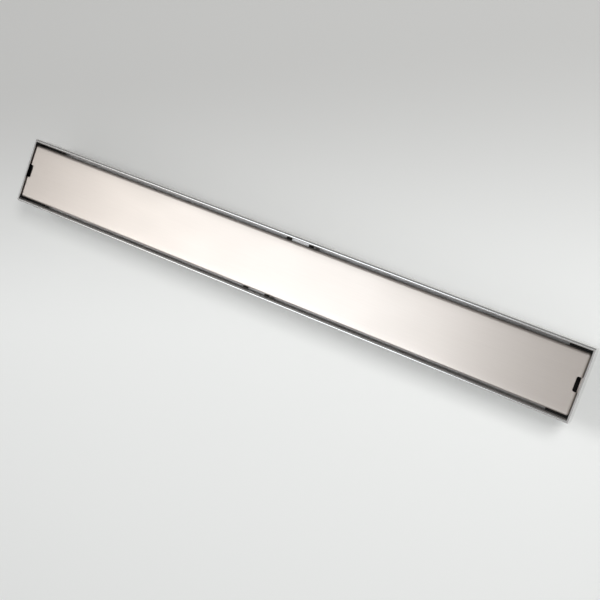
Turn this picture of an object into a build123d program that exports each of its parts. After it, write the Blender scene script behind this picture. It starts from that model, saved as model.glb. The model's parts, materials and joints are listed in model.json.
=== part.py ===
from build123d import *
from math import atan, cos, sqrt
import os

# Linear shower drain: a shallow channel folded from sheet steel, closed by two end plates,
# with an outlet under its middle, a lift-out strainer, and a cover panel lying on padded rests.
# X runs along the channel, Y across it and Z up. The origin is the centre of the spigot's lower end.

# Channel
overall_length = 610.0  # over both end plates
overall_width = 68.0  # over both rims
channel_height = 25.0  # rim top down to the outside corner of the floor
channel_sheet = 1.5
bend_radius = 1.2  # inside of each fold
hem_height = 8.0  # depth of the rim's fold, down the inside of the wall
floor_fall = 1.5  # drop of the floor from each wall to the crease
end_plate_sheet = 1.5

# Cover panel
slot_width = 3.0  # open drain slot along each long side
end_gap = 0.5
cover_recess = 0.8  # cover's face below the rim
cover_sheet = 1.5
cover_bend = 0.6  # inside of each fold
notch_width = 13.5
notch_reach = 4.6  # in from the cover's end
notch_drop = 8.0  # down the end fold
notch_corner = 1.5

# Rests under the cover
rest_height = 6.5  # top of the rests above the floor beside the wall
pad_thickness = 1.5
bracket_sheet = 1.2
ledge_reach = 22.0
ledge_floor_gap = 1.0  # under the fold that is welded to the end plate
foot_length = 34.0
foot_lead = 3.5  # foot's end past the middle of the channel
foot_pad_length = 5.0
seat_margin = 0.1  # foot past the inside of the cover's fold
weld_clearance = 0.2

# Outlet
outlet_diameter = 40.0
outlet_sheet = 1.2
outlet_length = 28.0  # straight run of the spigot
outlet_bevel = 0.8  # inside of each drawn corner
outlet_chamfer = 0.4
dish_depth = 2.5  # below the crease

# Strainer
gasket_width = 3.5
gasket_thickness = 1.5
gasket_clearance = 0.2  # clear of the dish's corners
strainer_sheet = 1.0
strainer_depth = 12.0
strainer_clearance = 0.8  # cup to spigot
flange_clearance = 0.6  # flange to dish
strainer_bevel = 0.8  # outside of each pressed corner
drain_slots = 6
drain_slot_width = 3.0
drain_hub = 5.5  # radius left whole inside the slots
drain_margin = 2.0  # slots to the cup's wall
handle_sheet = 1.0
handle_width = 6.0
handle_height = 9.0
handle_bend = 1.5  # inside of each fold
handle_margin = 0.5  # foot inside the flange's edge

# Places across the width
half_width = overall_width / 2
rim_thickness = 2 * channel_sheet
rim_inside = half_width - rim_thickness
wall_inside = half_width - channel_sheet
cover_width = 2 * (rim_inside - slot_width)

# Places along the length
inner_length = overall_length - 2 * end_plate_sheet
cover_length = inner_length - 2 * end_gap

# Levels
floor_rise = floor_fall / half_width  # per millimetre from the crease
floor_thickness = channel_sheet / cos(atan(floor_rise))
dish_floor = outlet_length + outlet_sheet
crease_top = dish_floor + dish_depth
crease_underside = crease_top - floor_thickness
wall_foot = crease_underside + floor_fall
rim_top = wall_foot + channel_height
rim_shoulder = rim_top - rim_thickness / 2
hem_end = rim_top - hem_height
floor_beside_wall = crease_top + wall_inside * floor_rise
rest_level = floor_beside_wall + rest_height
cover_bottom = rest_level + pad_thickness
cover_top = rim_top - cover_recess

# Outlet and strainer radii
spigot_outside = outlet_diameter / 2
spigot_inside = spigot_outside - outlet_sheet
bevel_gain = 2 - sqrt(2)  # outside bevel less the inside one, per millimetre of sheet
dish_bevel = outlet_bevel + outlet_sheet * bevel_gain
gasket_inside = spigot_inside + dish_bevel + gasket_clearance
gasket_outside = gasket_inside + gasket_width
dish_inside = gasket_outside + gasket_clearance + outlet_bevel
dish_outside = dish_inside + outlet_sheet
cup_outside = spigot_inside - strainer_clearance
cup_inside = cup_outside - strainer_sheet
flange_outside = dish_inside - flange_clearance

os.makedirs("parts", exist_ok=True)


# A closed outline with each corner cut off by its own length, where that isn't zero
def bevelled(corners, cuts):
    points = []
    for place, cut in enumerate(cuts):
        corner = Vector(*corners[place])
        for neighbour in (corners[place - 1], corners[(place + 1) % len(corners)]):
            point = corner + (Vector(*neighbour) - corner).normalized() * cut
            if point not in points:
                points.append(point)
    return Polyline(*points, close=True)


# Channel: one folded sheet with hemmed rims and a floor creased along its middle
with BuildPart() as channel_body:
    with BuildSketch(Plane.YZ.offset(-inner_length / 2)):
        with BuildLine():
            outer = FilletPolyline(
                (0, crease_underside),
                (half_width, wall_foot),
                (half_width, rim_shoulder),
                radius=bend_radius + channel_sheet,
            )
            hem = TangentArc(outer @ 1, (rim_inside, rim_shoulder), tangent=outer % 1)
            Polyline(hem @ 1, (rim_inside, hem_end), (wall_inside, hem_end))
            FilletPolyline(
                (wall_inside, hem_end),
                (wall_inside, floor_beside_wall),
                (0, crease_top),
                radius=bend_radius,
            )
            mirror(about=Plane.YZ)
        make_face()
    extrude(amount=inner_length)
    with Locations((0, 0, rim_top)):
        Hole(radius=dish_inside)
channel_body.part.label = "channel_body"
export_step(channel_body.part, "parts/channel_body.step")

# End plates: welded over the channel's open ends, following its outside
for end, side in (("left", -1), ("right", 1)):
    with BuildPart() as end_plate:
        with BuildSketch(Plane.YZ.offset(side * inner_length / 2)):
            with BuildLine():
                FilletPolyline(
                    (0, crease_underside),
                    (half_width, wall_foot),
                    (half_width, rim_top),
                    (0, rim_top),
                    radius=[bend_radius + channel_sheet, rim_thickness / 2],
                )
                mirror(about=Plane.YZ)
            make_face()
        extrude(amount=side * end_plate_sheet)
    end_plate.part.label = f"end_plate_{end}"
    export_step(end_plate.part, f"parts/end_plate_{end}.step")

# Cover: a folded pan, face up, with a lifting notch at the middle of each end
with BuildPart() as cover_panel:
    with BuildSketch(Plane.XY.offset(cover_bottom)):
        RectangleRounded(cover_length, cover_width, cover_bend + cover_sheet)
    extrude(amount=cover_top - cover_bottom)
    fillet(cover_panel.faces().sort_by(Axis.Z)[-1].edges(), radius=cover_bend + cover_sheet)
    offset(amount=-cover_sheet, openings=cover_panel.faces().sort_by(Axis.Z)[0])
    with BuildSketch(Plane.XY.offset(cover_top)):
        with Locations((-cover_length / 2, 0), (cover_length / 2, 0)):
            RectangleRounded(2 * notch_reach, notch_width, notch_corner)
    extrude(amount=-notch_drop, mode=Mode.SUBTRACT)
cover_panel.part.label = "cover_panel"
export_step(cover_panel.part, "parts/cover_panel.step")

# End ledges: angle brackets on the end plates, each covered by a rubber strip that carries the cover
ledge_width = 2 * (wall_inside - weld_clearance)
pad_length = ledge_reach - weld_clearance
for end, side in (("left", -1), ("right", 1)):
    plate_face = side * inner_length / 2
    ledge_tip = plate_face - side * ledge_reach
    leg_face = plate_face - side * bracket_sheet
    leg_end = floor_beside_wall + ledge_floor_gap
    with BuildPart() as end_ledge:
        with BuildSketch(Plane.XZ):
            with BuildLine():
                FilletPolyline(
                    (plate_face, leg_end),
                    (plate_face, rest_level),
                    (ledge_tip, rest_level),
                    (ledge_tip, rest_level - bracket_sheet),
                    (leg_face, rest_level - bracket_sheet),
                    (leg_face, leg_end),
                    radius=[0, bend_radius + bracket_sheet, 0, 0, bend_radius, 0],
                    close=True,
                )
            make_face()
        extrude(amount=ledge_width / 2, both=True)
    end_ledge.part.label = f"end_ledge_{end}"
    export_step(end_ledge.part, f"parts/end_ledge_{end}.step")

    with BuildPart() as end_pad:
        with BuildSketch(Plane.XY.offset(rest_level)):
            with Locations((ledge_tip + side * pad_length / 2, 0)):
                Rectangle(pad_length, ledge_width)
        extrude(amount=pad_thickness)
    end_pad.part.label = f"end_pad_{end}"
    export_step(end_pad.part, f"parts/end_pad_{end}.step")

# Centre feet: two folded bridges on the floor, diagonally either side of the outlet's mouth,
# each with a rubber pad at both ends under the cover's long fold
foot_inside = cover_width / 2 - cover_sheet - seat_margin
foot_outside = wall_inside - bend_radius - weld_clearance
foot_width = foot_outside - foot_inside
foot_bend = bend_radius + bracket_sheet
mouth_edge = sqrt(max(dish_inside**2 - foot_inside**2, 0))  # zero where the foot passes beside the mouth
foot_start = mouth_edge or -foot_lead
foot_end = foot_start + foot_length
pad_offsets = {
    "inner": foot_start + foot_bend + foot_pad_length / 2,
    "outer": foot_end - foot_bend - foot_pad_length / 2,
}
for place, side in (("far", 1), ("near", -1)):
    outer_side = Plane(origin=(0, side * foot_outside, 0), x_dir=(side, 0, 0), z_dir=(0, -side, 0))
    sloping_floor = Plane(origin=(0, 0, crease_top), z_dir=(0, -side * floor_rise, 1))
    with BuildPart() as centre_foot:
        with BuildSketch(outer_side):
            with BuildLine():
                FilletPolyline(
                    (foot_start, crease_top),
                    (foot_start, rest_level),
                    (foot_end, rest_level),
                    (foot_end, crease_top),
                    (foot_end - bracket_sheet, crease_top),
                    (foot_end - bracket_sheet, rest_level - bracket_sheet),
                    (foot_start + bracket_sheet, rest_level - bracket_sheet),
                    (foot_start + bracket_sheet, crease_top),
                    radius=[0, foot_bend, foot_bend, 0, 0, bend_radius, bend_radius, 0],
                    close=True,
                )
            make_face()
        extrude(amount=foot_width)
        split(bisect_by=sloping_floor, keep=Keep.TOP)
    centre_foot.part.label = f"centre_foot_{place}"
    export_step(centre_foot.part, f"parts/centre_foot_{place}.step")

    for end, offset_along in pad_offsets.items():
        with BuildPart() as foot_pad:
            with BuildSketch(Plane.XY.offset(rest_level)):
                with Locations((side * offset_along, side * (foot_inside + foot_width / 2))):
                    Rectangle(foot_pad_length, foot_width)
            extrude(amount=pad_thickness)
        foot_pad.part.label = f"foot_pad_{place}_{end}"
        export_step(foot_pad.part, f"parts/foot_pad_{place}_{end}.step")

# Outlet: a dish drawn into a spigot, its wall trimmed to the underside of the creased floor
dish_wall_top = crease_underside + dish_outside * floor_rise
with BuildPart() as outlet_spigot:
    with BuildSketch(Plane.XZ):
        with BuildLine():
            bevelled(
                corners=[
                    (spigot_outside, 0),
                    (spigot_outside, outlet_length),
                    (dish_outside, outlet_length),
                    (dish_outside, dish_wall_top),
                    (dish_inside, dish_wall_top),
                    (dish_inside, dish_floor),
                    (spigot_inside, dish_floor),
                    (spigot_inside, 0),
                ],
                cuts=[0, outlet_bevel, dish_bevel, 0, 0, outlet_bevel, dish_bevel, 0],
            )
        make_face()
    revolve(axis=Axis.Z)
    with BuildSketch(Plane.YZ):
        with BuildLine():
            Polyline(
                (0, crease_underside),
                (dish_outside, dish_wall_top),
                (-dish_outside, dish_wall_top),
                close=True,
            )
        make_face()
    extrude(amount=dish_outside, both=True, mode=Mode.SUBTRACT)
    chamfer(
        outlet_spigot.faces().sort_by(Axis.Z)[0].edges().sort_by(SortBy.RADIUS)[-1],
        length=outlet_chamfer,
    )
outlet_spigot.part.label = "outlet_spigot"
export_step(outlet_spigot.part, "parts/outlet_spigot.step")

# Gasket: a flat ring on the floor of the dish, under the strainer's flange
with BuildPart() as strainer_gasket:
    with BuildSketch(Plane.XY.offset(dish_floor)):
        Circle(gasket_outside)
        Circle(gasket_inside, mode=Mode.SUBTRACT)
    extrude(amount=gasket_thickness)
strainer_gasket.part.label = "strainer_gasket"
export_step(strainer_gasket.part, "parts/strainer_gasket.step")

# Strainer: a pressed cup hanging in the spigot by its flange, with a ring of slots in its floor
flange_underside = dish_floor + gasket_thickness
flange_top = flange_underside + strainer_sheet
cup_underside = flange_top - strainer_depth
cup_floor = cup_underside + strainer_sheet
drain_reach = cup_inside - drain_margin
with BuildPart() as strainer_basket:
    with BuildSketch(Plane.XZ):
        with BuildLine():
            bevelled(
                corners=[
                    (0, cup_underside),
                    (cup_outside, cup_underside),
                    (cup_outside, flange_underside),
                    (flange_outside, flange_underside),
                    (flange_outside, flange_top),
                    (cup_inside, flange_top),
                    (cup_inside, cup_floor),
                    (0, cup_floor),
                ],
                cuts=[0, strainer_bevel, 0, 0, 0, strainer_bevel, 0, 0],
            )
        make_face()
    revolve(axis=Axis.Z)
    with BuildSketch(Plane.XY.offset(cup_underside)):
        with PolarLocations((drain_hub + drain_reach) / 2, drain_slots):
            SlotOverall(drain_reach - drain_hub, drain_slot_width)
    extrude(amount=strainer_sheet, mode=Mode.SUBTRACT)
strainer_basket.part.label = "strainer_basket"
export_step(strainer_basket.part, "parts/strainer_basket.step")

# Handle: a folded strap with its feet on the strainer's flange
handle_top = flange_top + handle_height
handle_foot = flange_outside - handle_margin
handle_outer_bend = handle_bend + handle_sheet
with BuildPart() as strainer_handle:
    with BuildSketch(Plane.XZ):
        with BuildLine():
            FilletPolyline(
                (0, handle_top),
                (cup_outside + handle_sheet, handle_top),
                (cup_outside + handle_sheet, flange_top + handle_sheet),
                (handle_foot, flange_top + handle_sheet),
                (handle_foot, flange_top),
                (cup_outside, flange_top),
                (cup_outside, handle_top - handle_sheet),
                (0, handle_top - handle_sheet),
                radius=[handle_outer_bend, handle_bend, 0, 0, handle_outer_bend, handle_bend],
            )
            mirror(about=Plane.YZ)
        make_face()
    extrude(amount=handle_width / 2, both=True)
strainer_handle.part.label = "strainer_handle"
export_step(strainer_handle.part, "parts/strainer_handle.step")
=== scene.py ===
import json
from math import copysign, cos, pi, radians

import bmesh
import bpy
from mathutils import Matrix, Vector


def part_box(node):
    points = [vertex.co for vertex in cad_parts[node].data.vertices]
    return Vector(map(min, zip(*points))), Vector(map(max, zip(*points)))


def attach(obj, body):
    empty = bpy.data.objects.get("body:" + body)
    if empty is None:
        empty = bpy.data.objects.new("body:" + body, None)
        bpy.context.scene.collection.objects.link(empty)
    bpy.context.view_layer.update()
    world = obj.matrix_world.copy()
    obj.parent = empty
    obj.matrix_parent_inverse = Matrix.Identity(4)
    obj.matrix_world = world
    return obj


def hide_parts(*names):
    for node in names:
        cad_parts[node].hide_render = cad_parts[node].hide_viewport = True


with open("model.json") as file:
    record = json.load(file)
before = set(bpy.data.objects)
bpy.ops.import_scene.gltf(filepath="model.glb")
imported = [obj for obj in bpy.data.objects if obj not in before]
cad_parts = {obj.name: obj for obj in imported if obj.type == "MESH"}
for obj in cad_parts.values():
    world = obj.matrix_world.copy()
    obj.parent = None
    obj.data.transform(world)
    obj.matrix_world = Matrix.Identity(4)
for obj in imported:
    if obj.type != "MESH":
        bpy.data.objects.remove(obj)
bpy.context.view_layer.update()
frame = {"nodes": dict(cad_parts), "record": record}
nodes = frame["nodes"]
mm = 0.001
print("frame loaded with", len(nodes), "nodes")


# shader helpers
def addNode(tree, kind, values=None, **settings):
    node = tree.nodes.new(kind)
    for name, value in settings.items():
        setattr(node, name, value)
    for name, value in (values or {}).items():
        node.inputs[name].default_value = value
    return node


def newMaterial(name):
    material = bpy.data.materials.new(name)
    material.use_nodes = True
    tree = material.node_tree
    return material, tree, tree.nodes["Principled BSDF"]


# noise on Object coordinates, with its cell stretched to a size in metres along each axis
def cellNoise(tree, size, detail=2.0, rough=0.5):
    place = addNode(tree, "ShaderNodeTexCoord")
    stretch = addNode(tree, "ShaderNodeMapping")
    stretch.inputs["Scale"].default_value = tuple(1 / s for s in size)
    noise = addNode(tree, "ShaderNodeTexNoise", {"Scale": 1.0, "Detail": detail, "Roughness": rough})
    tree.links.new(place.outputs["Object"], stretch.inputs["Vector"])
    tree.links.new(stretch.outputs["Vector"], noise.inputs["Vector"])
    return noise.outputs["Fac"]


noiseMiddle = {"From Min": 0.3, "From Max": 0.7}  # where most of a noise lies
mixPlaces = {"FLOAT": (2, 3, 0), "RGBA": (6, 7, 2)}  # a Mix node's two inputs and its output, for each kind


# spreads the middle of a noise onto low..high
def spread(tree, socket, low, high):
    ranged = addNode(tree, "ShaderNodeMapRange", {**noiseMiddle, "To Min": low, "To Max": high})
    tree.links.new(socket, ranged.inputs["Value"])
    return ranged.outputs["Result"]


def tint(tree, socket, dark, light):
    first, second, given = mixPlaces["RGBA"]
    mixed = addNode(tree, "ShaderNodeMix", data_type="RGBA")
    mixed.inputs[first].default_value = (*dark, 1)
    mixed.inputs[second].default_value = (*light, 1)
    tree.links.new(socket, mixed.inputs[0])
    return mixed.outputs[given]


# one number or colour where a mask is 0, another where it is 1
def blend(tree, kind, mask, low, high):
    first, second, given = mixPlaces[kind]
    mixed = addNode(tree, "ShaderNodeMix", data_type=kind)
    for place, socket in ((0, mask), (first, low), (second, high)):
        tree.links.new(socket, mixed.inputs[place])
    return mixed.outputs[given]


def bumpFrom(tree, socket, shader, depth, strength):
    bump = addNode(tree, "ShaderNodeBump", {"Distance": depth, "Strength": strength})
    tree.links.new(socket, bump.inputs["Height"])
    tree.links.new(bump.outputs["Normal"], shader.inputs["Normal"])


# a sum on sockets and plain numbers
def sumOf(tree, operation, *terms):
    node = addNode(tree, "ShaderNodeMath", operation=operation)
    for place, term in enumerate(terms):
        if isinstance(term, (int, float)):
            node.inputs[place].default_value = term
        else:
            tree.links.new(term, node.inputs[place])
    return node.outputs["Value"]


# 0 below a height, 1 above another
def heightMask(tree, low, high):
    place = addNode(tree, "ShaderNodeTexCoord")
    axes = addNode(tree, "ShaderNodeSeparateXYZ")
    ramp = addNode(tree, "ShaderNodeMapRange", {"From Min": low, "From Max": high},
                   interpolation_type="SMOOTHSTEP")
    tree.links.new(place.outputs["Object"], axes.inputs["Vector"])
    tree.links.new(axes.outputs["Z"], ramp.inputs["Value"])
    return ramp.outputs["Result"]


# cover: grain brushed along the length
brushedLook = {
    "dark": (0.64, 0.58, 0.533),
    "light": (0.68, 0.62, 0.572),
    "rough": (0.35, 0.40),
    "grain": (60 * mm, 0.35 * mm, 0.35 * mm),
    "hair": (14 * mm, 0.12 * mm, 0.12 * mm),  # finer lines within the grain
    "hairShare": 0.5,
    "smudge": (70 * mm, 28 * mm, 28 * mm),
    "smudgeRough": 0.015,
    "grainDepth": 0.0008 * mm,
    "bump": 1.0,
    "anisotropy": 0.55,
}


def brushedSteel(look):
    material, tree, shader = newMaterial("brushedSteel")
    broad = sumOf(tree, "MULTIPLY", cellNoise(tree, look["grain"]), 1 - look["hairShare"])
    grain = sumOf(tree, "MULTIPLY_ADD", cellNoise(tree, look["hair"]), look["hairShare"], broad)
    colour = tint(tree, spread(tree, grain, 0, 1), look["dark"], look["light"])
    tree.links.new(colour, shader.inputs["Base Color"])
    smudge = spread(tree, cellNoise(tree, look["smudge"]), -look["smudgeRough"], look["smudgeRough"])
    rough = sumOf(tree, "ADD", spread(tree, grain, *look["rough"]), smudge)
    tree.links.new(rough, shader.inputs["Roughness"])
    shader.inputs["Metallic"].default_value = 1
    shader.inputs["Anisotropic"].default_value = look["anisotropy"]
    across = addNode(tree, "ShaderNodeTangent", direction_type="UV_MAP", uv_map="brushing")
    tree.links.new(across.outputs["Tangent"], shader.inputs["Tangent"])
    bumpFrom(tree, grain, shader, look["grainDepth"], look["bump"])
    return material


# end plates, strainer and handle: buffed bright
polishedLook = {
    "dark": (0.62, 0.61, 0.60),
    "light": (0.70, 0.69, 0.68),
    "rough": (0.07, 0.13),
    "buff": (30 * mm, 6 * mm, 6 * mm),
    "wave": (45 * mm, 12 * mm, 12 * mm),
    "waveDepth": 0.05 * mm,
    "bump": 0.3,
}


def polishedSteel(look):
    material, tree, shader = newMaterial("polishedSteel")
    buff = cellNoise(tree, look["buff"], detail=4)
    colour = tint(tree, spread(tree, buff, 0, 1), look["dark"], look["light"])
    tree.links.new(colour, shader.inputs["Base Color"])
    tree.links.new(spread(tree, buff, *look["rough"]), shader.inputs["Roughness"])
    shader.inputs["Metallic"].default_value = 1
    bumpFrom(tree, cellNoise(tree, look["wave"]), shader, look["waveDepth"], look["bump"])
    return material


# ledges, feet, spigot and weld: dull rolled sheet
satinLook = {
    "dark": (0.70, 0.69, 0.68),
    "light": (0.78, 0.77, 0.76),
    "rough": (0.32, 0.42),
    "speckle": (1.5 * mm, 0.5 * mm, 1.5 * mm),
    "speckleDepth": 0.004 * mm,
    "bump": 0.25,
}


def satinSteel(look):
    material, tree, shader = newMaterial("satinSteel")
    speckle = cellNoise(tree, look["speckle"], detail=5, rough=0.6)
    colour = tint(tree, spread(tree, speckle, 0, 1), look["dark"], look["light"])
    tree.links.new(colour, shader.inputs["Base Color"])
    tree.links.new(spread(tree, speckle, *look["rough"]), shader.inputs["Roughness"])
    shader.inputs["Metallic"].default_value = 1
    bumpFrom(tree, speckle, shader, look["speckleDepth"], look["bump"])
    return material


# channel: rolled sheet, buffed bright along its rims
channelLook = {
    "dullDark": (0.72, 0.71, 0.70),
    "dullLight": (0.80, 0.79, 0.78),
    "dullRough": (0.29, 0.37),
    "dullMetal": 0.7,  # the rest is matt
    "rimDark": (0.56, 0.55, 0.54),
    "rimLight": (0.62, 0.61, 0.60),
    "rimRough": (0.18, 0.265),
    "rimFrom": 3.0 * mm,  # below the rim's top
    "rimTo": 1.5 * mm,
    "roll": (40 * mm, 0.8 * mm, 1.6 * mm),
    "rollDepth": 0.004 * mm,
    "bump": 0.2,
}


def channelSteel(look):
    material, tree, shader = newMaterial("channelSteel")
    roll = cellNoise(tree, look["roll"], detail=4)
    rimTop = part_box("channel_body")[1][2]
    rim = heightMask(tree, rimTop - look["rimFrom"], rimTop - look["rimTo"])
    streak = spread(tree, roll, 0, 1)
    dullColour = tint(tree, streak, look["dullDark"], look["dullLight"])
    rimColour = tint(tree, streak, look["rimDark"], look["rimLight"])
    tree.links.new(blend(tree, "RGBA", rim, dullColour, rimColour), shader.inputs["Base Color"])
    dullRough = spread(tree, roll, *look["dullRough"])
    rimRough = spread(tree, roll, *look["rimRough"])
    tree.links.new(blend(tree, "FLOAT", rim, dullRough, rimRough), shader.inputs["Roughness"])
    metal = sumOf(tree, "MULTIPLY_ADD", rim, 1 - look["dullMetal"], look["dullMetal"])
    tree.links.new(metal, shader.inputs["Metallic"])
    bumpFrom(tree, roll, shader, look["rollDepth"], look["bump"])
    return material


# pads and gasket: matt rubber; the pads' near black is partly painted shade, for the dark gaps at the
# slots' ends and beside the middle feet
blackRubberLook = {
    "dark": (0.012, 0.012, 0.012),
    "light": (0.028, 0.028, 0.027),
    "rough": (0.55, 0.75),
    "pore": (0.5 * mm, 0.5 * mm, 0.5 * mm),
    "poreDepth": 0.03 * mm,
    "bump": 0.4,
}
greyRubberLook = {**blackRubberLook, "dark": (0.14, 0.14, 0.14), "light": (0.21, 0.21, 0.205)}


def rubber(name, look):
    material, tree, shader = newMaterial(name)
    pore = cellNoise(tree, look["pore"], detail=6, rough=0.6)
    colour = tint(tree, spread(tree, pore, 0, 1), look["dark"], look["light"])
    tree.links.new(colour, shader.inputs["Base Color"])
    tree.links.new(spread(tree, pore, *look["rough"]), shader.inputs["Roughness"])
    bumpFrom(tree, pore, shader, look["poreDepth"], look["bump"])
    return material


finishes = {
    "brushed_steel": brushedSteel(brushedLook),
    "polished_steel": polishedSteel(polishedLook),
    "satin_steel": satinSteel(satinLook),
    "black_rubber": rubber("blackRubber", blackRubberLook),
    "grey_rubber": rubber("greyRubber", greyRubberLook),
}
for part in frame["record"]["subparts"]:
    nodes[part["node"]].data.materials.clear()
    nodes[part["node"]].data.materials.append(finishes[part["material_slot"]])
nodes["channel_body"].data.materials[0] = channelSteel(channelLook)
print("finishes on every node")


def addPiece(name, mesh, slot, *replaced):
    piece = bpy.data.objects.new(name, mesh)
    bpy.context.scene.collection.objects.link(piece)
    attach(piece, "root")
    if replaced:
        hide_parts(*replaced)


# an object to put a modifier on, and the plain mesh that comes of it
def newMaker(mesh):
    maker = bpy.data.objects.new("maker", mesh)
    bpy.context.scene.collection.objects.link(maker)
    return maker


def plainMesh(maker, name):
    mesh = bpy.data.meshes.new_from_object(maker.evaluated_get(bpy.context.evaluated_depsgraph_get()))
    mesh.name = name
    bpy.data.objects.remove(maker)
    return mesh


# cover: the folded pan, bowed a little and with a brushing direction of its own
coverShape = {
    "name": "brushed_cover",
    "sharpAngle": radians(35),
    "mergeReach": 0.002 * mm,
    "bowFrom": 21.0 * mm,  # from here the face falls away towards its long folds
    "bowDepth": 0.3 * mm,
    "bowStrips": 5,
    "levelFrom": 0.9999,  # the z of a level face's normal
}


# loose triangles merged, with cuts along the face where it bows
def mergedPan(shape):
    pan = bmesh.new()
    pan.from_mesh(nodes["cover_panel"].data)
    bmesh.ops.remove_doubles(pan, verts=pan.verts, dist=shape["mergeReach"])
    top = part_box("cover_panel")[1][2]
    foldAt = max(vert.co.y for vert in pan.verts if vert.co.z > top - shape["mergeReach"])
    for strip in range(shape["bowStrips"]):
        cut = shape["bowFrom"] + (foldAt - shape["bowFrom"]) * strip / shape["bowStrips"]
        for side in (-cut, cut):
            everything = [*pan.verts, *pan.edges, *pan.faces]
            bmesh.ops.bisect_plane(pan, geom=everything, dist=shape["mergeReach"],
                                   plane_co=(0, side, 0), plane_no=(0, 1, 0))
    for face in pan.faces:
        face.smooth = True
    for edge in pan.edges:
        edge.smooth = edge.calc_face_angle(pi) < shape["sharpAngle"]
    return pan


# each face's own map runs across the grain and along it, and on over the folds
def addBrushing(pan):
    brushing = pan.loops.layers.uv.new("brushing")
    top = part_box("cover_panel")[1][2]
    for face in pan.faces:
        endFold = abs(face.normal.x) > abs(face.normal.y)
        for corner in face.loops:
            x, y, z = corner.vert.co
            fold = (0, copysign(top - z, x)) if endFold else (copysign(top - z, y), 0)
            corner[brushing].uv = (y + fold[0], x + fold[1])


# the folds' lower edges stay where they rest, and the normals lean with the face
def bowCover(mesh, shape):
    low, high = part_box("cover_panel")
    reach = high[1] - shape["bowFrom"]
    level = {vert for face in mesh.polygons if face.normal.z > shape["levelFrom"] for vert in face.vertices}
    shares = [max(abs(vert.co.y) - shape["bowFrom"], 0) / reach for vert in mesh.vertices]
    leaning = []
    for loop, corner in zip(mesh.loops, mesh.corner_normals):
        number = loop.vertex_index
        normal = Vector(corner.vector)
        if number in level and normal.z > cos(shape["sharpAngle"]):
            normal = Vector((0, 0, 1))
        slope = 2 * shape["bowDepth"] * shares[number] / reach
        normal.y += copysign(slope, mesh.vertices[number].co.y) * normal.z
        leaning.append(normal.normalized())
    for vert, share in zip(mesh.vertices, shares):
        vert.co.z -= shape["bowDepth"] * share ** 2 * (vert.co.z - low[2]) / (high[2] - low[2])
    mesh.normals_split_custom_set(leaning)


def brushedCover(shape):
    pan = mergedPan(shape)
    addBrushing(pan)
    merged = bpy.data.meshes.new("coverMerged")
    pan.to_mesh(merged)
    pan.free()
    maker = newMaker(merged)
    flat = maker.modifiers.new("flatFaces", "WEIGHTED_NORMAL")  # broad faces shade flat up to their folds
    flat.keep_sharp = True
    flat.weight = 100
    mesh = plainMesh(maker, shape["name"])
    bowCover(mesh, shape)
    mesh.materials.clear()
    mesh.materials.append(finishes["brushed_steel"])
    addPiece(shape["name"], mesh, "brushed_steel", "cover_panel")
    print("cover has", len(mesh.polygons), "faces")


brushedCover(coverShape)

# weld round the outlet's dish, under the channel: a bead with a ripple for each pulse of the torch
weldShape = {
    "name": "outlet_weld",
    "bead": 1.3 * mm,
    "stand": 0.3 * mm,  # how far the bead's middle stands off both sheets
    "ripple": 1.1 * mm,
    "rippleSteps": 4,
    "rippleDepth": 0.16,  # of the bead's radius
    "sides": 10,
}


def weldTree(material):
    tree = bpy.data.node_groups.new("weldBead", "GeometryNodeTree")
    tree.interface.new_socket("Geometry", in_out="OUTPUT", socket_type="NodeSocketGeometry")
    for name, kind in (("Path Radius", "Float"), ("Path Height", "Float"), ("Path Rise", "Float"),
                       ("Bead Radius", "Float"), ("Ripple Depth", "Float"), ("Ripples", "Int"),
                       ("Ripple Steps", "Int"), ("Sides", "Int")):
        tree.interface.new_socket(name, in_out="INPUT", socket_type="NodeSocket" + kind)
    sizes = addNode(tree, "NodeGroupInput").outputs
    points = sumOf(tree, "MULTIPLY", sizes["Ripples"], sizes["Ripple Steps"])
    path = addNode(tree, "GeometryNodeCurvePrimitiveCircle")
    tree.links.new(points, path.inputs["Resolution"])
    tree.links.new(sizes["Path Radius"], path.inputs["Radius"])
    axes = addNode(tree, "ShaderNodeSeparateXYZ")
    tree.links.new(addNode(tree, "GeometryNodeInputPosition").outputs["Position"], axes.inputs["Vector"])
    outward = sumOf(tree, "ABSOLUTE", axes.outputs["Y"])
    lift = addNode(tree, "ShaderNodeCombineXYZ")
    height = sumOf(tree, "MULTIPLY_ADD", outward, sizes["Path Rise"], sizes["Path Height"])
    tree.links.new(height, lift.inputs["Z"])
    lifted = addNode(tree, "GeometryNodeSetPosition")
    tree.links.new(path.outputs["Curve"], lifted.inputs["Geometry"])
    tree.links.new(lift.outputs["Vector"], lifted.inputs["Offset"])
    index = addNode(tree, "GeometryNodeInputIndex").outputs["Index"]
    phase = sumOf(tree, "FRACT", sumOf(tree, "DIVIDE", index, sizes["Ripple Steps"]))
    slack = sumOf(tree, "SUBTRACT", 1, sumOf(tree, "MULTIPLY", phase, sizes["Ripple Depth"]))
    ring = addNode(tree, "GeometryNodeCurvePrimitiveCircle", {"Radius": 1})
    tree.links.new(sizes["Sides"], ring.inputs["Resolution"])
    bead = addNode(tree, "GeometryNodeCurveToMesh")
    tree.links.new(lifted.outputs["Geometry"], bead.inputs["Curve"])
    tree.links.new(ring.outputs["Curve"], bead.inputs["Profile Curve"])
    tree.links.new(sumOf(tree, "MULTIPLY", slack, sizes["Bead Radius"]), bead.inputs["Scale"])
    smooth = addNode(tree, "GeometryNodeSetShadeSmooth")
    real = addNode(tree, "GeometryNodeRealizeInstances")
    dressed = addNode(tree, "GeometryNodeSetMaterial", {"Material": material})
    done = addNode(tree, "NodeGroupOutput")
    tree.links.new(bead.outputs["Mesh"], smooth.inputs["Geometry"])
    tree.links.new(smooth.outputs["Geometry"], real.inputs["Geometry"])
    tree.links.new(real.outputs["Geometry"], dressed.inputs["Geometry"])
    tree.links.new(dressed.outputs["Geometry"], done.inputs["Geometry"])
    return tree


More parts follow.
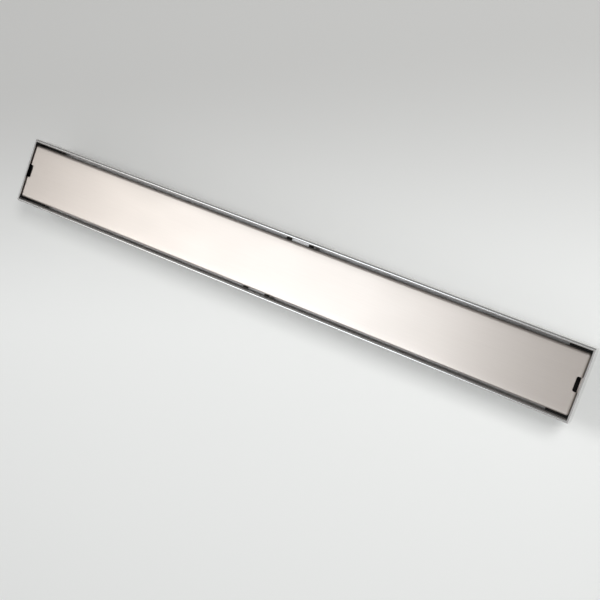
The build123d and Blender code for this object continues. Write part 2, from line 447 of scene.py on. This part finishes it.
def outletWeld(shape):
    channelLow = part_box("channel_body")[0][2]
    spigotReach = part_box("outlet_spigot")[1]
    radius = spigotReach[0] + shape["stand"]
    values = {
        "Path Radius": radius,
        "Path Height": channelLow - shape["stand"],
        # the channel's floor falls to its middle line
        "Path Rise": (spigotReach[2] - channelLow) / spigotReach[0],
        "Bead Radius": shape["bead"],
        "Ripple Depth": shape["rippleDepth"],
        "Ripples": round(2 * pi * radius / shape["ripple"]),
        "Ripple Steps": shape["rippleSteps"],
        "Sides": shape["sides"],
    }
    maker = newMaker(bpy.data.meshes.new("weldPath"))
    modifier = maker.modifiers.new("weldBead", "NODES")
    modifier.node_group = weldTree(finishes["satin_steel"])
    for socket in modifier.node_group.interface.items_tree:
        if socket.in_out == "INPUT":
            modifier[socket.identifier] = values[socket.name]
    mesh = plainMesh(maker, shape["name"])
    addPiece(shape["name"], mesh, "satin_steel")
    print("weld has", len(mesh.polygons), "faces")


outletWeld(weldShape)

# floor: pale paper, with painted light falloff: its colour is darker away from the viewer
floorLook = {
    "reach": 20.0,
    "near": (0.80, 0.81, 0.80),
    "far": (0.505, 0.505, 0.495),
    "nearAt": -0.08,
    "farAt": 0.22,
    "uphill": (-0.346, 0.938, 0),  # away from the viewer
    "rough": 0.8,
    "gloss": 0.2,
}


def paleFloor(look):
    mesh = bpy.data.meshes.new("floor")
    r = look["reach"]
    mesh.from_pydata([(-r, -r, 0), (r, -r, 0), (r, r, 0), (-r, r, 0)], [], [(0, 1, 2, 3)])
    floor = bpy.data.objects.new("floor", mesh)
    bpy.context.scene.collection.objects.link(floor)
    material, tree, shader = newMaterial("paleFloor")
    place = addNode(tree, "ShaderNodeTexCoord")
    along = addNode(tree, "ShaderNodeVectorMath", operation="DOT_PRODUCT")
    along.inputs[1].default_value = look["uphill"]
    paintedFalloff = addNode(tree, "ShaderNodeMapRange", {"From Min": look["nearAt"], "From Max": look["farAt"]},
                   interpolation_type="SMOOTHSTEP")
    tree.links.new(place.outputs["Object"], along.inputs[0])
    tree.links.new(along.outputs["Value"], paintedFalloff.inputs["Value"])
    # painted light falloff: the paper's colour dims from the near side to the far side
    colour = tint(tree, paintedFalloff.outputs["Result"], look["near"], look["far"])
    tree.links.new(colour, shader.inputs["Base Color"])
    shader.inputs["Roughness"].default_value = look["rough"]
    shader.inputs["Specular IOR Level"].default_value = look["gloss"]
    mesh.materials.append(material)


paleFloor(floorLook)
print("floor laid")

# studio: a sky that is dim low down, with pale ground at its rim, brighter on the viewer's side
skyLook = {
    "stops": [(0.0, 0.45), (0.05, 0.45), (0.12, 0.34), (0.55, 0.38), (0.8, 0.50), (1.0, 0.53)],
    "lean": -0.4,  # along +Y
}


def studioSky(look):
    world = bpy.data.worlds.new("studioSky")
    world.use_nodes = True
    bpy.context.scene.world = world
    tree = world.node_tree
    place = addNode(tree, "ShaderNodeTexCoord")
    axes = addNode(tree, "ShaderNodeSeparateXYZ")
    ramp = addNode(tree, "ShaderNodeValToRGB")
    stops = ramp.color_ramp.elements
    while len(stops) < len(look["stops"]):
        stops.new(0.5)
    for stop, (position, level) in zip(stops, look["stops"]):
        stop.position = position
        stop.color = (level, level, level, 1)
    tree.links.new(place.outputs["Generated"], axes.inputs["Vector"])
    tree.links.new(axes.outputs["Z"], ramp.inputs["Fac"])
    tree.links.new(ramp.outputs["Color"], tree.nodes["Background"].inputs["Color"])
    lean = sumOf(tree, "MULTIPLY_ADD", axes.outputs["Y"], look["lean"], 1)
    tree.links.new(lean, tree.nodes["Background"].inputs["Strength"])


# flat panels overhead, which either show in metal or light what is matt: place in metres,
# size along the drain and across it, level is a panel's own brightness
lampLooks = {
    "keyLamp": {"place": (0.8, 0.62, 1.6), "size": (0.5, 0.5), "level": 19.3,
                "colour": (1, 1, 1), "inMetal": False},
    "fillLamp": {"place": (-0.5, 0.15, 1.6), "size": (0.5, 0.5), "level": 12.4,
                 "colour": (1, 1, 1), "inMetal": False},
    "plainPanel": {"place": (-1.145, -0.99, 1.55), "size": (0.39, 2.22), "level": 1.9,
                   "colour": (1, 1, 0.99), "inMetal": True},
    "coolPanel": {"place": (-0.55, -0.99, 1.55), "size": (0.8, 2.22), "level": 1.9,
                  "colour": (0.95, 1.02, 1.08), "inMetal": True},
}


def panelLamp(name, look):
    lamp = bpy.data.lights.new(name, "AREA")
    lamp.shape = "RECTANGLE"
    lamp.size, lamp.size_y = look["size"]
    lamp.energy = look["level"] * pi * lamp.size * lamp.size_y
    lamp.color = look["colour"]
    holder = bpy.data.objects.new(name, lamp)
    holder.location = look["place"]
    holder.visible_glossy = look["inMetal"]
    holder.visible_diffuse = not look["inMetal"]
    bpy.context.scene.collection.objects.link(holder)


studioSky(skyLook)
for lampName, lampLook in lampLooks.items():
    panelLamp(lampName, lampLook)
print("studio lit")

# camera at the photograph's angle
cameraLook = {
    "place": (0.38531, 0.08374, 0.92362),
    "aim": (0.03923, -0.02069, 0.0567),
    "up": (-0.34598, 0.9379, 0.02514),
    "lens": 60.108,
    "sensor": 36.0,
}


def photoCamera(look):
    camera = bpy.data.objects.new("camera", bpy.data.cameras.new("camera"))
    camera.data.lens = look["lens"]
    camera.data.sensor_width = look["sensor"]
    back = (Vector(look["place"]) - Vector(look["aim"])).normalized()
    right = Vector(look["up"]).cross(back).normalized()
    turn = Matrix((right, back.cross(right), back)).transposed().to_4x4()
    camera.matrix_world = Matrix.Translation(look["place"]) @ turn
    bpy.context.scene.collection.objects.link(camera)
    bpy.context.scene.camera = camera


photoCamera(cameraLook)
bpy.context.scene.view_settings.view_transform = "Standard"
print("camera set")
